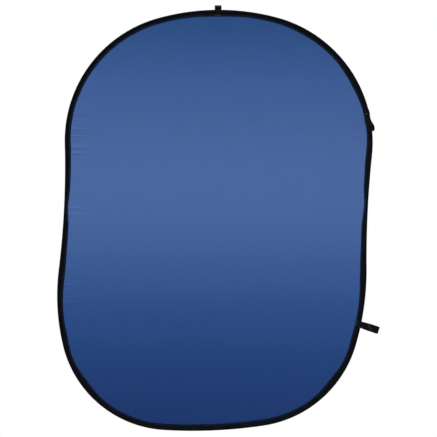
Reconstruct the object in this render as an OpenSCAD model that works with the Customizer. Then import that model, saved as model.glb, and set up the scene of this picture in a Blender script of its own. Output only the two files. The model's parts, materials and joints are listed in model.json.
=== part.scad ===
// Collapsible pop-up backdrop panel, 1.5 x 2.0 m.
// A flat spring-steel band runs round the edge inside a folded black binding tape, and
// holds a single sheet of cloth tight. Webbing loops are sewn to the rim.
// The panel stands in the XZ plane with its front towards -Y. The origin is the seat in
// the top loop where a hook bears. All lengths are in millimetres, all angles in degrees.

/* [Panel outline] */
// Radius of the crown, the shallow arc at the top
crown_radius = 1070; // [1000:5:1150]
// Radius of the upper right corner
right_shoulder_radius = 615; // [600:5:630]
// Radius of the shallow hollow in the right side
right_waist_radius = 4705; // [4500:5:5000]
// Radius of the right side below the hollow
right_side_radius = 1265; // [1200:5:1330]
// Radius of the lower right corner
right_foot_radius = 540; // [525:5:555]
// Radius of the lower left corner
left_foot_radius = 525; // [510:5:540]
// Radius of the left side below the hollow
left_side_radius = 1015; // [960:5:1070]
// Radius of the upper left corner
left_shoulder_radius = 605; // [590:5:620]
// Distance of the crown's middle to the right of the top loop
crown_offset = 3; // [0:1:8]

/* [Rim] */
// Width of the binding tape that shows on each face
rim_width = 27; // [24:1:32]
// Thickness of the rim where the tape goes round the steel band
rim_thickness = 12; // [11:0.5:14]
// Thickness of the binding tape
tape_thickness = 0.9; // [0.6:0.1:1.2]
// Width of the sewn lips that grip the cloth
lip_width = 8; // [7:1:10]
// Width of the spring-steel band
band_width = 9; // [7:0.5:9]
// Thickness of the spring-steel band
band_thickness = 1.2; // [0.8:0.1:1.4]

/* [Cloth] */
// Thickness of the cloth
cloth_thickness = 0.6; // [0.4:0.1:0.7]
// Depth to which the cloth is tucked between the lips
cloth_tuck = 7; // [4:1:7]

/* [Fold] */
// Drop from the crown to the middle of the fold zone
fold_drop = 1002; // [950:1:1050]
// Spacing of the fold lines
fold_spacing = 100; // [90:1:110]
// Gap left in the rim at each fold line
rim_gap = 4; // [3.6:0.2:6]
// Gap left in the cloth at each fold line
cloth_gap = 0.4; // [0.3:0.1:1]

/* [Webbing loops] */
// Thickness of the webbing
webbing_thickness = 1.6; // [1.2:0.1:2]
// Width of the top loop
top_loop_width = 32; // [25:1:38]
// Distance from the top loop's bend line to the centre of its eye
top_loop_reach = 11; // [10:1:16]
// Inside radius of the top loop's eye
top_loop_eye = 5; // [4:0.5:6]
// Width of a side loop where it is sewn on
side_loop_root_width = 26; // [22:1:28]
// Width of a side loop at its splayed end
side_loop_end_width = 33; // [28:1:36]
// Distance from a side loop's bend line to the centre of its eye
side_loop_reach = 78; // [60:1:90]
// Inside radius of a side loop's eye
side_loop_eye = 4; // [3.5:0.5:5]

/* [Hidden] */
$fn = 360;

// The outline is a closed chain of tangent arcs, clockwise from the crown's left end. Each
// turn is how far the edge turns right along its arc, and a negative turn is a hollow.
TURNS = [31, 81, -6.5, 17, 65, 12, 73, 20.5, -8.5, 75.5];
crown_left_turn = 16;
RIGHT_SHOULDER = 1;
RIGHT_SIDE = 3;
BOTTOM = 5;
LEFT_WAIST = 8;
LEFT_SHOULDER = 9;

top_loop_neck = 4;
crown_z = -(top_loop_neck + top_loop_reach + top_loop_eye);
crown = [crown_offset, crown_z];

// Edge direction at the start of arc i, from +X, anticlockwise positive.
function heading(i) = i == 0 ? crown_left_turn : heading(i - 1) - TURNS[i - 1];

// Movement along arc i for a radius of one.
function unit_step(i) =
    sign(TURNS[i]) * [sin(heading(i)) - sin(heading(i + 1)), cos(heading(i + 1)) - cos(heading(i))];

function cross2(a, b) = a[0] * b[1] - a[1] * b[0];
function sum2(list, i = 0) = i == len(list) ? [0, 0] : list[i] + sum2(list, i + 1);

// The bottom and the left hollow take the radii that bring the chain back to the crown.
known_radii = [
    crown_radius, right_shoulder_radius, right_waist_radius, right_side_radius,
    right_foot_radius, 0, left_foot_radius, left_side_radius, 0, left_shoulder_radius
];
open_gap = -sum2([for (i = [0:len(TURNS) - 1]) known_radii[i] * unit_step(i)]);
closing_area = cross2(unit_step(BOTTOM), unit_step(LEFT_WAIST));
bottom_radius = cross2(open_gap, unit_step(LEFT_WAIST)) / closing_area;
left_waist_radius = cross2(unit_step(BOTTOM), open_gap) / closing_area;
radii = [
    for (i = [0:len(TURNS) - 1])
        i == BOTTOM ? bottom_radius : i == LEFT_WAIST ? left_waist_radius : known_radii[i]
];

first_point = crown + crown_radius * [-sin(crown_left_turn), cos(crown_left_turn) - 1];
function arc_start(i) = i == 0 ? first_point : arc_start(i - 1) + radii[i - 1] * unit_step(i - 1);
function arc_centre(i) =
    arc_start(i) + sign(TURNS[i]) * radii[i] * [sin(heading(i)), -cos(heading(i))];

// The point of arc i after it has turned by the angle turn, moved in from the outer edge.
function rim_point(i, turn, inset = 0) =
    let (side = sign(TURNS[i]), direction = heading(i) - side * turn)
    arc_centre(i) + (side * radii[i] - inset) * [-sin(direction), cos(direction)];

// Where two arcs meet, the rim's pieces are parted by a hairline seam.
arc_seam = 0.2;

// Fold lines, from the highest down.
FOLDS = 6;
STRIPS = FOLDS - 1;
fold_middle_z = crown_z - fold_drop;
function fold_z(k) = fold_middle_z + ((FOLDS + 1) / 2 - k) * fold_spacing;
// Heights and distances that lie beyond the whole panel.
far_above = 100;
far_below = -2200;
far_sideways = 1000;
far_through = 50;

// Rim section, measured inward from the outer edge and out from the panel's middle plane.
half_rim = rim_thickness / 2;
slot_clearance = 0.1;
half_slot = cloth_thickness / 2 + slot_clearance;
lip_face = half_slot + tape_thickness;
half_band = band_width / 2;
band_inset = 1.8;
edge_chamfer = 0.8;
shoulder_depth = 5;
lip_start = rim_width - lip_width;
// How much further out the tape's inside corners lie than its outside corners.
corner_shift = 0.2;

// Two rows of stitching, each set in from its edge of the lip.
thread_width = 0.7;
thread_height = 0.35;
row_inset = 2;
outer_row = lip_start + row_inset;
inner_row = rim_width - row_inset;

// The crimped sleeve that joins the band's two ends, and the slit where they butt.
ferrule_wall = 0.5;
ferrule_clearance = 0.1;
ferrule_overhang = 0.5;
ferrule_turn = 4;
ferrule_place = 40;
band_slit_turn = 0.1;

// Webbing lies this far clear of the threads, and a little further over the rim itself.
tail_clearance = 0.2;
tail_lift = 0.3;
tail_chamfer = 0.3;
eye_pinch = 0.3;
trim_margin = 1;

// Bar tacks: rows of dense stitching across the webbing.
tack_rows = 3;
tack_pitch = 2.5;
tack_width = 1.2;
tack_height = 0.5;
tack_margin = 2;

// Upper right side loop: where its root is sewn and which way it hangs.
UPPER_LOOP_ARC = RIGHT_SHOULDER;
upper_loop_turn = 61.5;
upper_loop_direction = -69;
upper_loop_lean = 3;
upper_loop_inset = 22;
upper_loop_start = side_loop_root_width / 2 + 2;
// Lower right side loop.
LOWER_LOOP_ARC = RIGHT_SIDE;
lower_loop_turn = 12.5;
lower_loop_direction = -18;
lower_loop_bend = 4;

// Height of each side loop's middle in front of the panel's middle plane. The upper loop
// lies on top of its tail and the lower one carries on from the middle of its own.
tail_top = half_rim + tail_lift + webbing_thickness;
lower_loop_height = tail_top;
upper_loop_height = tail_top + tail_clearance + webbing_thickness;
// The upper loop's tail ends this far past the rim, and this much nearer the middle plane.
upper_tail_reach = 1;
upper_tail_drop = 1;
lower_tail_reach = 0.6;
top_tail_gap = 0.3;
top_tail_height = 0.2;

cloth_blue = [0.20, 0.34, 0.58];
binding_black = [0.06, 0.06, 0.07];
webbing_black = [0.11, 0.11, 0.12];
thread_black = [0.03, 0.03, 0.04];
steel_grey = [0.62, 0.63, 0.65];

strip_names = [for (k = [1:STRIPS]) str("strip_", k)];

// ---- helpers ----

// Stands a drawing of the front view up in the XZ plane, its +Z towards the front.
module in_panel() {
    rotate([90, 0, 0])
    children();
}

// Sweeps a rim section along a stretch of arc i. The section's x is the inset.
module sweep_arc(i, from_turn, turn_by) {
    hollow = TURNS[i] < 0;
    first = hollow ? heading(i) - 90 + from_turn : heading(i) + 90 - from_turn - turn_by;
    translate([arc_centre(i)[0], arc_centre(i)[1], 0])
    rotate([0, 0, first])
    rotate_extrude(angle = turn_by)
    translate([radii[i], 0])
    rotate([0, 0, hollow ? 0 : 180])
    children();
}

// Sweeps a rim section along the whole of arc i, less half a seam at each end.
module sweep_whole_arc(i) {
    half_seam_turn = arc_seam / 2 / radii[i] * 180 / PI;
    sweep_arc(i, half_seam_turn, abs(TURNS[i]) - 2 * half_seam_turn)
    children();
}

// Everything between two heights.
module between(low, high) {
    translate([-far_sideways, low, -far_through])
    cube([2 * far_sideways, high - low, 2 * far_through]);
}

// Arcs that meet a height band: side is -1 for those going up the left, 1 for the right,
// and 0 for all of them.
function arcs_between(low, high, side) = [
    for (i = [0:len(TURNS) - 1])
        let (a = arc_start(i)[1], b = arc_start(i + 1)[1])
        if (min(a, b) < high && max(a, b) > low && (side == 0 || sign(a - b) == side)) i
];

// A swept section cut to a height band.
module rim_run(low, high, side) {
    in_panel()
    intersection() {
        union() {
            for (i = arcs_between(low, high, side))
                sweep_whole_arc(i)
                children();
        }
        between(low, high);
    }
}

// ---- rim sections ----

module binding_section() {
    inside = half_rim - tape_thickness;
    inside_shoulder = shoulder_depth - corner_shift;
    inside_lip = lip_start - corner_shift;
    polygon([
        [0, edge_chamfer - half_rim], [edge_chamfer, -half_rim], [shoulder_depth, -half_rim],
        [lip_start, -lip_face], [rim_width, -lip_face],
        [rim_width, -half_slot], [inside_lip, -half_slot],
        [inside_shoulder, -inside], [tape_thickness, -inside],
        [tape_thickness, inside], [inside_shoulder, inside],
        [inside_lip, half_slot], [rim_width, half_slot],
        [rim_width, lip_face], [lip_start, lip_face],
        [shoulder_depth, half_rim], [edge_chamfer, half_rim], [0, half_rim - edge_chamfer]
    ]);
}

module band_section() {
    translate([band_inset, -half_band])
    square([band_thickness, band_width]);
}

// Two rows of thread on each face of the lips.
module stitching_section() {
    for (row = [outer_row, inner_row], face = [-1, 1])
        translate([row - thread_width / 2, face == 1 ? lip_face : -lip_face - thread_height])
        square([thread_width, thread_height]);
}

module ferrule_section() {
    outer = ferrule_wall + ferrule_clearance;
    inner = ferrule_clearance;
    difference() {
        translate([band_inset - outer, -half_band - ferrule_overhang])
        square([band_thickness + 2 * outer, band_width + 2 * ferrule_overhang]);
        translate([band_inset - inner, -half_band - inner])
        square([band_thickness + 2 * inner, band_width + 2 * inner]);
    }
}

// ---- rim and cloth pieces ----

module binding(low, high, side = 0) {
    color(binding_black)
    rim_run(low + rim_gap / 2, high - rim_gap / 2, side)
    binding_section();
}

module band(low, high, side = 0) {
    color(steel_grey)
    rim_run(low + rim_gap / 2, high - rim_gap / 2, side)
    band_section();
}

module stitching(low, high) {
    color(thread_black)
    rim_run(low + rim_gap / 2, high - rim_gap / 2, 0)
    stitching_section();
}

module cloth(low, high) {
    point_turn = 2.5;
    inset = rim_width - cloth_tuck;
    edge = [
        for (i = [0:len(TURNS) - 1])
            let (count = ceil(abs(TURNS[i]) / point_turn))
            for (k = [0:count - 1]) rim_point(i, abs(TURNS[i]) * k / count, inset)
    ];
    color(cloth_blue)
    in_panel()
    intersection() {
        linear_extrude(height = cloth_thickness, center = true)
        polygon(edge);
        between(low + cloth_gap / 2, high - cloth_gap / 2);
    }
}

// The steel band is an open strip. Its ends butt at a slit inside the ferrule.
module upper_band() {
    difference() {
        band(fold_z(1), far_above);
        in_panel()
        sweep_arc(LEFT_SHOULDER, ferrule_place - band_slit_turn / 2, band_slit_turn)
        translate([0, -half_rim])
        square([shoulder_depth, rim_thickness]);
    }
}

module band_ferrule() {
    color(steel_grey)
    in_panel()
    sweep_arc(LEFT_SHOULDER, ferrule_place - ferrule_turn / 2, ferrule_turn)
    ferrule_section();
}

// ---- webbing loops ----

// Outline of two circles and their outer tangents, the first at the origin.
module teardrop(root_radius, end_radius, reach) {
    splay = asin((end_radius - root_radius) / reach);
    end_arc = [
        for (k = [0:12])
            let (a = (90 + splay) * (k / 6 - 1))
            [reach, 0] + end_radius * [cos(a), sin(a)]
    ];
    root_arc = [
        for (k = [0:4])
            let (a = 90 + splay + (180 - 2 * splay) * k / 4)
            root_radius * [cos(a), sin(a)]
    ];
    polygon(concat(end_arc, root_arc));
}

// A folded webbing loop. It bends at the origin and points along +X, with its faces
// towards +Z and -Z.
module webbing_loop(reach, eye, root_width, end_width) {
    neck = webbing_thickness;
    tip = reach + eye + webbing_thickness + trim_margin;
    intersection() {
        rotate([90, 0, 0])
        linear_extrude(height = end_width + 2 * trim_margin, center = true)
        difference() {
            teardrop(neck, eye + webbing_thickness, reach);
            translate([2 * neck, 0])
            teardrop(eye_pinch, eye, reach - 2 * neck);
        }
        linear_extrude(height = far_through, center = true)
        polygon([
            [-2 * neck, -root_width / 2], [tip, -end_width / 2],
            [tip, end_width / 2], [-2 * neck, root_width / 2]
        ]);
    }
}

// Puts a piece at the outer edge of arc i, its +X outward and its +Z to the front.
module at_rim(i, turn) {
    place = rim_point(i, turn);
    translate([place[0], place[1], 0])
    rotate([0, 0, heading(i) - turn + 90])
    children();
}

// The sewn end of a loop, laid over one face of the rim from the seam to the outer edge.
// Its outer end is ahead of the rim's edge by reach and at the height rise.
module strap_tail(width, thickness, reach, rise) {
    over_lip = lip_face + thread_height + tail_clearance;
    over_rim = half_rim + tail_lift;
    under_end = 0.2;
    top_end = 0.4;
    rotate([90, 0, 0])
    linear_extrude(height = width, center = true)
    polygon([
        [-rim_width, over_lip],
        [-lip_start, over_lip],
        [-shoulder_depth, over_rim],
        [under_end, over_rim],
        [reach, rise],
        [reach, rise + thickness],
        [top_end, over_rim + thickness],
        [-shoulder_depth - tail_chamfer, over_rim + thickness],
        [-lip_start - tail_chamfer, over_lip + thickness],
        [-rim_width, over_lip + thickness]
    ]);
}

// Dense cross rows of thread that hold a tail down over the lips.
module bar_tacks(width, thickness) {
    face = lip_face + thread_height + tail_clearance + thickness;
    first_row = -rim_width + 1;
    for (k = [0:tack_rows - 1])
        translate([first_row + tack_pitch * k, -width / 2 + tack_margin, face])
        cube([tack_width, width - 2 * tack_margin, tack_height]);
}

module at_top() {
    in_panel()
    translate([0, crown_z, 0])
    rotate([0, 0, 90])
    children();
}

module top_loop() {
    color(webbing_black)
    at_top()
    translate([top_loop_neck, 0, 0])
    webbing_loop(top_loop_reach, top_loop_eye, top_loop_width, top_loop_width);
}

// The top loop's two ends go down the front and the back of the rim.
module top_loop_tail() {
    reach = top_loop_neck - webbing_thickness - top_tail_gap;
    color(webbing_black)
    at_top()
    for (face = [0, 1])
        mirror([0, 0, face])
        strap_tail(top_loop_width, webbing_thickness, reach, top_tail_height);
}

module top_loop_tacks() {
    color(thread_black)
    at_top()
    for (face = [0, 1])
        mirror([0, 0, face])
        bar_tacks(top_loop_width, webbing_thickness);
}

module at_upper_side() {
    in_panel()
    at_rim(UPPER_LOOP_ARC, upper_loop_turn)
    children();
}

// It hangs down over the front of the rim and its free end stands out past the edge.
module upper_side_loop() {
    root = rim_point(UPPER_LOOP_ARC, upper_loop_turn, upper_loop_inset);
    color(webbing_black)
    in_panel()
    translate([root[0], root[1], upper_loop_height])
    rotate([0, 0, upper_loop_direction])
    translate([upper_loop_start, 0, 0])
    rotate([0, -upper_loop_lean, 0])
    webbing_loop(side_loop_reach, side_loop_eye, side_loop_root_width, side_loop_end_width);
}

module upper_side_loop_tail() {
    color(webbing_black)
    at_upper_side()
    strap_tail(side_loop_root_width, webbing_thickness, upper_tail_reach, half_rim - upper_tail_drop);
}

module upper_side_loop_tacks() {
    color(thread_black)
    at_upper_side()
    bar_tacks(side_loop_root_width, webbing_thickness);
}

module lower_side_loop() {
    place = rim_point(LOWER_LOOP_ARC, lower_loop_turn, -lower_loop_bend);
    color(webbing_black)
    in_panel()
    translate([place[0], place[1], lower_loop_height])
    rotate([0, 0, lower_loop_direction])
    webbing_loop(side_loop_reach, side_loop_eye, side_loop_root_width, side_loop_end_width);
}

module at_lower_side() {
    in_panel()
    at_rim(LOWER_LOOP_ARC, lower_loop_turn)
    children();
}

module lower_side_loop_tail() {
    color(webbing_black)
    at_lower_side()
    strap_tail(side_loop_root_width, 2 * webbing_thickness, lower_tail_reach, half_rim + tail_lift);
}

module lower_side_loop_tacks() {
    color(thread_black)
    at_lower_side()
    bar_tacks(side_loop_root_width, 2 * webbing_thickness);
}

// ---- assembly ----

upper_band();
binding(fold_z(1), far_above);  // upper_binding
cloth(fold_z(1), far_above);  // upper_cloth
stitching(fold_z(1), far_above);  // upper_stitching
band_ferrule();
for (k = [1:STRIPS]) {
    name = strip_names[k - 1];
    low = fold_z(k + 1);
    high = fold_z(k);
    band(low, high, -1);
    band(low, high, 1);
    binding(low, high, -1);
    binding(low, high, 1);
    cloth(low, high);
    stitching(low, high);
}
band(far_below, fold_z(FOLDS));  // lower_band
binding(far_below, fold_z(FOLDS));  // lower_binding
cloth(far_below, fold_z(FOLDS));  // lower_cloth
stitching(far_below, fold_z(FOLDS));  // lower_stitching
top_loop();
top_loop_tail();
top_loop_tacks();
upper_side_loop();
upper_side_loop_tail();
upper_side_loop_tacks();
lower_side_loop();
lower_side_loop_tail();
lower_side_loop_tacks();
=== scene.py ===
"""Looks for the collapsible backdrop panel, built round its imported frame.

One sheet of blue cloth is held tight by a black binding tape, which is folded over a flat
spring-steel band and stitched to the cloth's edge. Webbing straps make a hanging loop at
the top and two tie loops on the right.

The panel stands in the XZ plane with its front towards -Y. Lengths are in metres and
angles in degrees, unless a comment says otherwise. A place on the rim is a distance along
the outer edge, clockwise from the crown's left end, and an inset inward from that edge.
Every piece made here has a UV layer of rest coordinates, so that its texture bends with it.
"""

import json
import math

import bpy
import numpy as np
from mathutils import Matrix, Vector, geometry, kdtree, noise


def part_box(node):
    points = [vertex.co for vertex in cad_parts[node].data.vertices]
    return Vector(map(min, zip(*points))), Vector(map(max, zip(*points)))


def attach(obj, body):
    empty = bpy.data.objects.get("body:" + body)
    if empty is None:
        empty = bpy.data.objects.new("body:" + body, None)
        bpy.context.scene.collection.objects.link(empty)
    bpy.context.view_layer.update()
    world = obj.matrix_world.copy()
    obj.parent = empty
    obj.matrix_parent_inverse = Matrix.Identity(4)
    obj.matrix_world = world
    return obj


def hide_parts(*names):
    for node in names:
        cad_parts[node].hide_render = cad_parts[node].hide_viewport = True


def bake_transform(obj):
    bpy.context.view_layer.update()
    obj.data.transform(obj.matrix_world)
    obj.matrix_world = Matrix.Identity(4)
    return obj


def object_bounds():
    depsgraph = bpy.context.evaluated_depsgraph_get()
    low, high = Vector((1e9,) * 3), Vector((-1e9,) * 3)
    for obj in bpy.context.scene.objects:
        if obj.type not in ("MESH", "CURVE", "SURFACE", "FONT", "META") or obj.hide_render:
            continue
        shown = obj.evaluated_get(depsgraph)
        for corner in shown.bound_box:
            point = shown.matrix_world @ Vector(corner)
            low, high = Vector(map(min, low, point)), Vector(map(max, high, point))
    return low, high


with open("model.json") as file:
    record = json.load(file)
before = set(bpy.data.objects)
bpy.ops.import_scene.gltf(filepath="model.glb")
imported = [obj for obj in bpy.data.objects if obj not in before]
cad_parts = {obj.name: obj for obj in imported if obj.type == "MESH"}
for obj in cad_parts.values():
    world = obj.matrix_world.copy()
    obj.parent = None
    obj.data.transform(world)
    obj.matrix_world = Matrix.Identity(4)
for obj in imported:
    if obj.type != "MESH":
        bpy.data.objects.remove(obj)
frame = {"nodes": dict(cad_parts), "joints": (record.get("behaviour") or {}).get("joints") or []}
cad_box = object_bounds()

MM = 0.001
FRONT = np.array([0.0, -1.0, 0.0])
REST_LAYER = "rest"
WEAVE_LAYER = "weave"
# A point layer of painted highlight on the straps.
PAINTED_HIGHLIGHT_LAYER = "painted_highlight"

# ---- folds: the panel is cut into one piece for each fold ----

folds = [joint for joint in frame["joints"] if joint["name"].startswith("fold_")]
fold_heights = [joint["pos_m"][2] for joint in folds]
half_fold = (fold_heights[0] - fold_heights[1]) / 2
cut_heights = [height - half_fold for height in fold_heights[:-1]]
PIECES = len(folds)


def piece_at(heights):
    """Which panel piece, from 0 at the top, holds each height."""
    return np.sum(np.asarray(heights)[..., None] < np.array(cut_heights), axis=-1)


def bend_over_fold(obj):
    """Bakes a panel piece's place into its mesh."""
    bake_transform(obj)


# ---- the outer edge: a closed chain of tangent arcs, as in the CAD ----

TURNS = (31, 81, -6.5, 17, 65, 12, 73, 20.5, -8.5, 75.5)
CROWN_LEFT_TURN = 16
CROWN_OFFSET = 3 * MM
UPPER_RIGHT, LOWER_RIGHT, BOTTOM, LEFT_WAIST, UPPER_LEFT = 1, 3, 5, 8, 9
# The radii of the bottom and the left hollow follow from closing the chain.
KNOWN_RADII = np.array([1070, 615, 4705, 1265, 540, 0, 525, 1015, 0, 605]) * MM

crown_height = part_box("upper_binding")[1].z
arc_side = np.sign(TURNS)
arc_heading = np.radians(CROWN_LEFT_TURN - np.concatenate(([0], np.cumsum(TURNS))))
arc_outward = np.stack([-np.sin(arc_heading), np.cos(arc_heading)], axis=1)
unit_steps = arc_side[:, None] * np.diff(arc_outward, axis=0)
arc_radius = KNOWN_RADII.copy()
open_gap = -(KNOWN_RADII[:, None] * unit_steps).sum(axis=0)
closing = [BOTTOM, LEFT_WAIST]
arc_radius[closing] = np.linalg.solve(unit_steps[closing].T, open_gap)
arc_length = arc_radius * np.radians(np.abs(TURNS))
arc_end = np.cumsum(arc_length)
edge_length = arc_end[-1]
crown_left = np.array([CROWN_OFFSET, crown_height]) + arc_radius[0] * (arc_outward[0] - [0, 1])
arc_step = arc_radius[:, None] * unit_steps
arc_start = crown_left + np.vstack([[0, 0], np.cumsum(arc_step, axis=0)[:-1]])
arc_centre = arc_start - (arc_side * arc_radius)[:, None] * arc_outward[:-1]


def edge_at(distance):
    """The edge's point, outward direction and running direction, each as (x, z)."""
    distance = np.asarray(distance, float) % edge_length
    i = np.minimum(np.searchsorted(arc_end, distance, side="right"), len(TURNS) - 1)
    done = distance - (arc_end[i] - arc_length[i])
    heading = arc_heading[i] - arc_side[i] * done / arc_radius[i]
    outward = np.stack([-np.sin(heading), np.cos(heading)], axis=-1)
    along = np.stack([np.cos(heading), np.sin(heading)], axis=-1)
    return arc_centre[i] + (arc_side * arc_radius)[i][..., None] * outward, outward, along


def in_space(flat, towards_front=0.0):
    """Turns (x, z) into (x, y, z), moved to the front of the panel's middle plane."""
    flat = np.asarray(flat, float)
    depth = np.broadcast_to(-np.asarray(towards_front, float), flat.shape[:-1])
    return np.stack([flat[..., 0], depth, flat[..., 1]], axis=-1)


def arc_place(i, turn):
    """The distance along the edge after arc i has turned by an angle."""
    return arc_end[i] - arc_length[i] + arc_radius[i] * math.radians(turn)


EDGE_TRIALS = 20000
HALVINGS = 40


def edge_at_height(height, side):
    """The distance along the edge where it crosses a height, on the left (-1) or right."""
    distance = (np.arange(EDGE_TRIALS) + 0.5) * edge_length / EDGE_TRIALS
    point, _, along = edge_at(distance)
    here = np.sign(-along[:, 1]) == side
    nearest = np.argmin(np.abs(point[:, 1] - height) + np.where(here, 0, edge_length))
    low, high = distance[nearest] - MM, distance[nearest] + MM
    for _ in range(HALVINGS):
        middle = (low + high) / 2
        above = edge_at(middle)[0][1] > height
        if above == (side > 0):
            low = middle
        else:
            high = middle
    return (low + high) / 2


# ---- soft shapes ----


def smoothstep(t):
    t = np.clip(t, 0, 1)
    return t * t * (3 - 2 * t)


def bell(t):
    return np.exp(-(t**2))


def unit(rows):
    return rows / np.linalg.norm(rows, axis=1, keepdims=True)


NOISE_SAMPLES = 8192
NOISE_GAIN = 1.7
noise_distance = np.arange(NOISE_SAMPLES) * edge_length / NOISE_SAMPLES


def rim_noise(wavelength, seed):
    """A function of the distance along the edge: smooth noise that closes on itself."""
    lattice_radius = edge_length / math.pi / wavelength
    turns = noise_distance / edge_length * 2 * math.pi
    values = [
        noise.noise(Vector((lattice_radius * math.cos(t), lattice_radius * math.sin(t), seed)))
        for t in turns
    ]
    values = NOISE_GAIN * np.array(values)
    return lambda distance: np.interp(distance, noise_distance, values, period=edge_length)


BOTH = (-1, 1)
# Where the rim is turned a little, so that less or more of it shows: on which sides, at what
# height, how far it spreads along the edge, and the change of width.
RIM_TURNS = (
    ((1,), -0.13, 0.15, 3 * MM),
    ((1,), -0.36, 0.11, 6 * MM),
    ((1,), -0.72, 0.06, 3 * MM),
    ((-1,), -0.68, 0.08, 2 * MM),
    (BOTH, -0.955, 0.065, -7 * MM),
    (BOTH, -1.275, 0.10, 4.5 * MM),
    (BOTH, -1.59, 0.06, 3 * MM),
    (BOTH, -1.81, 0.08, 7 * MM),
)
CROWN_TURN = (0.12, 4.5 * MM)
FOOT_TURN = (0.50, 3.5 * MM)
# Single pleats at the left edge: the height, and in millimetres half the width, the reach
# inward, and the depth.
PLEATS = (
    (-0.505, 6, 50, 1.4),
    (-0.560, 7, 55, 1.8),
    (-0.582, 5, 75, 2.3),
    (-0.601, 5, 80, 2.5),
    (-0.621, 6, 70, 2.8),
    (-0.676, 10, 60, 4.4),
    (-0.704, 6, 80, 3.0),
    (-0.833, 5, 25, 1.6),
    (-0.866, 6, 28, 2.1),
    (-0.904, 5, 30, 1.8),
    (-0.963, 5, 80, 3.2),
    (-0.992, 8, 75, 2.1),
    (-1.170, 6, 60, 2.1),
    (-1.238, 7, 75, 2.3),
    (-1.330, 6, 60, 1.8),
    (-1.415, 7, 70, 2.1),
)
# Where gathers come thicker along the left edge: the height, its spread, the strength.
PUCKER_ZONES = ((-0.60, 0.100, 0.9), (-1.34, 0.170, 1.3))
PUCKER_EVERYWHERE = 0.45
# How far in from the lips the shapes in the cloth begin, and how far they reach.
PUCKER_START, PUCKER_REACH, PUCKER_REACH_CHANGE = 14 * MM, 55 * MM, 0.45
BILLOW_START, BILLOW_REACH = 35 * MM, 95 * MM
PLEAT_START = 9 * MM
SWAY_REACH = 40 * MM
PUCKER_SHARE, PUCKER_RIDGES, BILLOW_SHARE = 0.55, 2.4, 0.7

RIM_WIDTH = 27 * MM
WIDTH_WANDER = 0.5 * MM
HALF_RIM = 6 * MM
EDGE_ROUND = 2.2 * MM
EDGE_POWER = 2.5
SHOULDER = 5 * MM
LIP_WIDTH = 8 * MM
LIP_FACE = 1.3 * MM
LIP_SWAY = 0.8 * MM
LIP_LOOSENESS = 0.25 * MM
TAPE_SAG = 0.4 * MM
HALF_SLOT = 0.4 * MM
TAPE = 0.9 * MM
FERRULE_BULGE = 0.5 * MM
FERRULE_PLACE = arc_place(UPPER_LEFT, 40)
FERRULE_REACH = 26 * MM

CLOTH_THICKNESS = 0.6 * MM
CLOTH_TUCK = 7 * MM

# The loops' roots, where their thick webbing holds the rim flat.
TOP_LOOP_PLACE = arc_place(0, CROWN_LEFT_TURN) - CROWN_OFFSET
UPPER_LOOP_PLACE = arc_place(UPPER_RIGHT, 61.5)
LOWER_LOOP_PLACE = arc_place(LOWER_RIGHT, 12.5)
LOOP_CALM = 30 * MM
CALM_CORE = 0.7

width_wander = rim_noise(0.040, 1.3)
lip_wander = rim_noise(0.090, 2.7)
tape_gather = {1: rim_noise(0.014, 3.1), -1: rim_noise(0.014, 4.9)}
tape_puff = {1: rim_noise(0.045, 5.5), -1: rim_noise(0.045, 6.1)}
pucker_fine = rim_noise(0.026, 7.7)
pucker_coarse = rim_noise(0.070, 8.3)
pucker_length = rim_noise(0.050, 9.1)


def round_trip(distance, place):
    """How far a distance along the edge is from a place, the shorter way round."""
    gap = np.abs(np.asarray(distance) - place) % edge_length
    return np.minimum(gap, edge_length - gap)


def calm(distance):
    """0 at the loops' roots and 1 away from them."""
    share = 1.0
    for place in (TOP_LOOP_PLACE, UPPER_LOOP_PLACE, LOWER_LOOP_PLACE):
        share = share * smoothstep(round_trip(distance, place) / LOOP_CALM - CALM_CORE)
    return share


rim_turns = [(TOP_LOOP_PLACE, *CROWN_TURN), (arc_place(BOTTOM, TURNS[BOTTOM] / 2), *FOOT_TURN)]
for sides, height, spread, change in RIM_TURNS:
    rim_turns += [(edge_at_height(height, side), spread, change) for side in sides]
pleats = [(edge_at_height(height, -1), *(size * MM for size in sizes)) for height, *sizes in PLEATS]


def rim_width(distance):
    """How far the binding reaches inward."""
    width = RIM_WIDTH + WIDTH_WANDER * width_wander(distance) * calm(distance)
    for place, spread, change in rim_turns:
        width = width + change * bell(round_trip(distance, place) / spread)
    return width


def pucker_strength(distance):
    """How strong the gathers are: thickest in the zones on the left, none at the loops' roots."""
    point = edge_at(distance)[0]
    strength = np.full(np.shape(distance), PUCKER_EVERYWHERE)
    for place, spread, much in PUCKER_ZONES:
        zone = much * bell((point[..., 1] - place) / spread)
        strength = strength + np.where(point[..., 0] < 0, zone, 0)
    return strength * calm(distance)


def lip_shift(distance, inset, width):
    """How far the lips and the cloth between them sway from the middle plane together."""
    share = smoothstep((inset - SHOULDER) / (width - SHOULDER))
    return LIP_SWAY * lip_wander(distance) * calm(distance) * share


def rim_height(distance, inset, width, face):
    """Half the rim's thickness: round over the band, then down to the lips. Face is 1 in front
    and -1 behind."""
    from_ferrule = round_trip(distance, FERRULE_PLACE) / FERRULE_REACH
    half = HALF_RIM + FERRULE_BULGE * smoothstep(2 - from_ferrule * 2)
    corner = np.clip(1 - inset / EDGE_ROUND, 0, 1) ** EDGE_POWER
    over_band = half * (1 - corner) ** (1 / EDGE_POWER)
    lip_start = width - LIP_WIDTH
    slope = smoothstep((lip_start - inset) / (lip_start - SHOULDER))
    sagging = slope * (1 - slope) * 4 * TAPE_SAG * tape_puff[face](distance)
    on_lips = smoothstep((inset - SHOULDER) / (lip_start - SHOULDER))
    loose = LIP_LOOSENESS * (1 + tape_gather[face](distance)) * on_lips * calm(distance)
    down = LIP_FACE + (half - LIP_FACE) * slope + sagging + np.maximum(loose, 0)
    return np.where(inset < EDGE_ROUND, over_band, down)


def inward(past_lips, start, reach):
    """0 at the lips, 1 from a start inward of them, and fading again with a reach."""
    return smoothstep(past_lips / start) * bell(np.maximum(past_lips, 0) / reach)


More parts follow.
